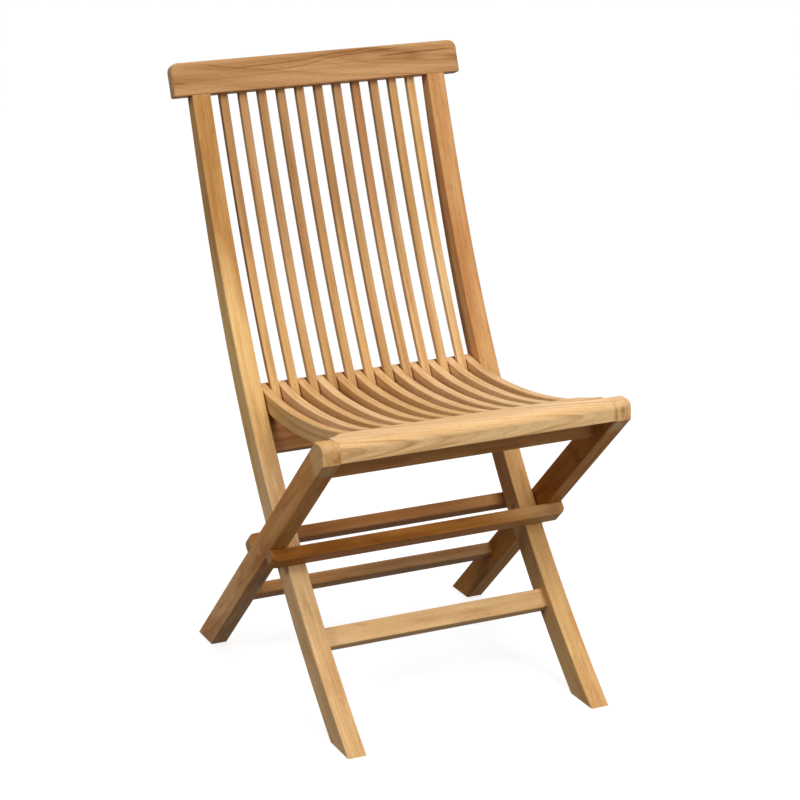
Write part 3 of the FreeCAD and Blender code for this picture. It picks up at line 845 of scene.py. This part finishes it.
@dataclass
class LegFrame:
    """Crossing legs with their bars, stretcher and top rail."""

    left_leg: Cut = Cut(Tone.FAWN, Tone.SIENNA, figure=0.9, turn=0.42, run=0.15, tip=Tone.PALE,
                        stain=0.7)
    # Partly the leg's own tone and partly painted shade: COPPER is darkened and saturated for its inner
    # face in the seat's shade.
    right_leg: Cut = Cut(Tone.COPPER, Tone.COPPER, lean=0.03, figure=1.2, tip=Tone.STRAW, stain=0.5)
    # Partly the bar's own tone and partly painted shade: AMBER over most of its length is darkened and
    # saturated for the seat's shade on it.
    front_stop_bar: Cut = Cut(Tone.AMBER, Tone.WHEAT, turn=0.82, run=0.18, stain=0.3)
    rear_cross_bar: Cut = plain_cut(Tone.TAWNY, lean=0.01)
    rear_stretcher: Cut = Cut(Tone.HAZEL, Tone.HONEY, lean=0.01, stain=0.6)
    leg_top_rail: Cut = plain_cut(Tone.TAWNY)
    plugs: Cut = plain_cut(Tone.HAZEL)

    def dress(self) -> None:
        """Finish the wood and the pins of the legs."""
        legs = {"left_leg": self.left_leg, "right_leg": self.right_leg}
        bars = {
            "front_stop_bar": self.front_stop_bar,
            "rear_cross_bar": self.rear_cross_bar,
            "rear_stretcher": self.rear_stretcher,
            "leg_top_rail": self.leg_top_rail,
        }
        WoodGroup(legs, GrainRun.RISING_FRONT).dress()
        WoodGroup(bars, GrainRun.ACROSS).dress()
        PlugGroup(plug_hosts("leg"), GrainRun.RISING_FRONT, self.plugs).dress()
        SteelGroup(both_sides("seat_pin")).dress()


@dataclass
class Seat:
    """Slatted seat between its two rails."""

    front_rail: Cut = Cut(Tone.STRAW, Tone.STRAW, lean=0.14, figure=1.1, streaks=0.15,
                          arch=(70.0, 0.010))
    rear_rail: Cut = plain_cut(Tone.TAWNY)
    slat_lean: float = 0.015
    slat_figure: float = 0.8
    slat_tones: tuple[Tone, ...] = (
        Tone.PALE, Tone.STRAW, Tone.PALE, Tone.STRAW, Tone.PALE, Tone.PALE,
        Tone.PALE, Tone.STRAW, Tone.STRAW, Tone.STRAW, Tone.STRAW, Tone.STRAW)

    def dress(self) -> None:
        """Finish the wood of the seat."""
        rails = {"seat_front_rail": self.front_rail, "seat_rear_rail": self.rear_rail}
        slats = [plain_cut(tone, self.slat_lean, self.slat_figure) for tone in self.slat_tones]
        WoodGroup(rails, GrainRun.ACROSS).dress()
        WoodGroup(numbered("seat_slat", slats), GrainRun.LEVEL, bent=True).dress()


@dataclass(frozen=True)
class Lamp:
    """Soft square lamp that faces the middle of the chair."""

    name: str
    place: Point
    size: float
    power: float

    def hang(self, towards: Vector) -> None:
        """Hang the lamp.

        Args:
            towards: Point that the lamp faces.
        """
        light = bpy.data.lights.new(self.name, "AREA")
        light.size = self.size
        light.energy = self.power
        lamp = bpy.data.objects.new(self.name, light)
        bpy.context.scene.collection.objects.link(lamp)
        lamp.location = self.place
        lamp.rotation_euler = (towards - lamp.location).to_track_quat("-Z", "Y").to_euler()
        log.info("%s: %d W", self.name, self.power)


@dataclass
class Studio:
    """White floor and air, soft light from above and in front, and the camera."""

    floor_size: float = 30.0
    floor_drop: float = 0.0005
    floor_colour: Colour = (0.07, 0.07, 0.07)
    floor_near: Colour = (0.34, 0.34, 0.34)
    floor_far: Colour = (0.02, 0.02, 0.02)
    floor_glow: Reach = (0.84, 1.0)
    shadow_reach: Reach = (0.5, 1.7)
    air_colour: Colour = (1.0, 1.0, 1.0)
    air_light: Reach = (0.10, 1.0)
    focal_length: float = 110.19
    sensor: float = 36.0
    clip_end: float = 100.0
    azimuth: float = -23.6771
    elevation: float = 16.6886
    roll: float = -1.2018
    distance: float = 3.40233
    aim: Point = (-0.0473371, -0.1254700, 0.4500000)
    middle: Point = (0.0, 0.0, 0.4)
    lamps: tuple[Lamp, ...] = (
        Lamp("key_lamp", (0.6, -2.9, 4.0), 2.5, 123),
        Lamp("sky_lamp", (0.0, -0.5, 4.2), 3.0, 44),
        Lamp("front_lamp", (0.8, -2.4, 0.9), 1.6, 15),
        Lamp("side_lamp", (-3.8, -1.2, 2.9), 1.6, 68),
        Lamp("back_lamp", (1.6, 3.4, 2.2), 2.0, 34),
    )

    def floor(self) -> None:
        """Lay a floor that looks white and still shows the chair's soft shadow."""
        half = self.floor_size / 2
        corners = [(-half, -half, 0), (half, -half, 0), (half, half, 0), (-half, half, 0)]
        mesh = bpy.data.meshes.new("studio_floor")
        mesh.from_pydata(corners, [], [(0, 1, 2, 3)])
        mesh.materials.append(self._floor_material())
        floor = bpy.data.objects.new("studio_floor", mesh)
        bpy.context.scene.collection.objects.link(floor)
        floor.location.z = -self.floor_drop

    def _floor_material(self) -> bpy.types.Material:
        """Matte floor with a glow that only the camera, metal and glass see.

        Returns:
            The finished material.
        """
        cover = bpy.data.materials.new("studio_floor")
        bench = NodeBench(cover)
        seen = bench.seen_rays()
        place = bench.add("ShaderNodeTexCoord").outputs["Object"]
        distance = bench.vector("DISTANCE", place, (0.0, 0.0, 0.0)).outputs[1]
        far = bench.span(distance, self.shadow_reach)
        shown = bench.blend(far, paint(self.floor_near), paint(self.floor_far))
        matte = bench.add("ShaderNodeBsdfDiffuse")
        bench.feed(matte, Color=bench.blend(seen, paint(self.floor_colour), shown))
        bright = bench.span(distance, self.shadow_reach, self.floor_glow)
        glow = bench.add("ShaderNodeEmission")
        bench.feed(glow, Strength=bench.math("MULTIPLY", seen, bright))
        both = bench.add("ShaderNodeAddShader")
        bench.feed(both, in0=matte.outputs[0], in1=glow.outputs[0])
        bench.finish("ShaderNodeOutputMaterial", both)
        return cover

    def air(self) -> None:
        """Weak even light all round, which looks white to the eye and in polished pieces."""
        world = bpy.data.worlds.new("studio_air")
        bpy.context.scene.world = world
        bench = NodeBench(world)
        strength = bench.span(bench.seen_rays(), RISING, self.air_light)
        light = bench.add("ShaderNodeBackground")
        bench.feed(light, Color=paint(self.air_colour), Strength=strength)
        bench.finish("ShaderNodeOutputWorld", light)

    def camera(self) -> None:
        """Set up the camera at the photograph's viewing angle."""
        data = bpy.data.cameras.new("photo_view")
        data.lens = self.focal_length
        data.sensor_width = self.sensor
        data.clip_end = self.clip_end
        camera = bpy.data.objects.new("photo_view", data)
        bpy.context.scene.collection.objects.link(camera)
        turn, tilt, roll = (math.radians(angle) for angle in (self.azimuth, self.elevation, self.roll))
        back = Vector((math.sin(turn) * math.cos(tilt), -math.cos(turn) * math.cos(tilt), math.sin(tilt)))
        level = Vector((math.cos(turn), math.sin(turn), 0))
        above = back.cross(level)
        right = level * math.cos(roll) + above * math.sin(roll)
        up = above * math.cos(roll) - level * math.sin(roll)
        pose = Matrix((right, up, back)).transposed().to_4x4()
        pose.translation = Vector(self.aim) + back * self.distance
        camera.matrix_world = pose
        bpy.context.scene.camera = camera

    def build(self) -> None:
        """Build the whole studio."""
        bpy.context.scene.view_settings.view_transform = "Standard"
        self.floor()
        self.air()
        for lamp in self.lamps:
            lamp.hang(Vector(self.middle))
        self.camera()
        log.info("studio: floor, air, %d lamps and the camera", len(self.lamps))


def main() -> None:
    """Dress the chair, light it and set up the camera."""
    logging.basicConfig(level=logging.INFO, format="%(message)s")
    for assembly in (BackFrame(), LegFrame(), Seat()):
        assembly.dress()
        log.info("%s is dressed", type(assembly).__name__)
    Studio().build()


if __name__ == "__main__":
    main()
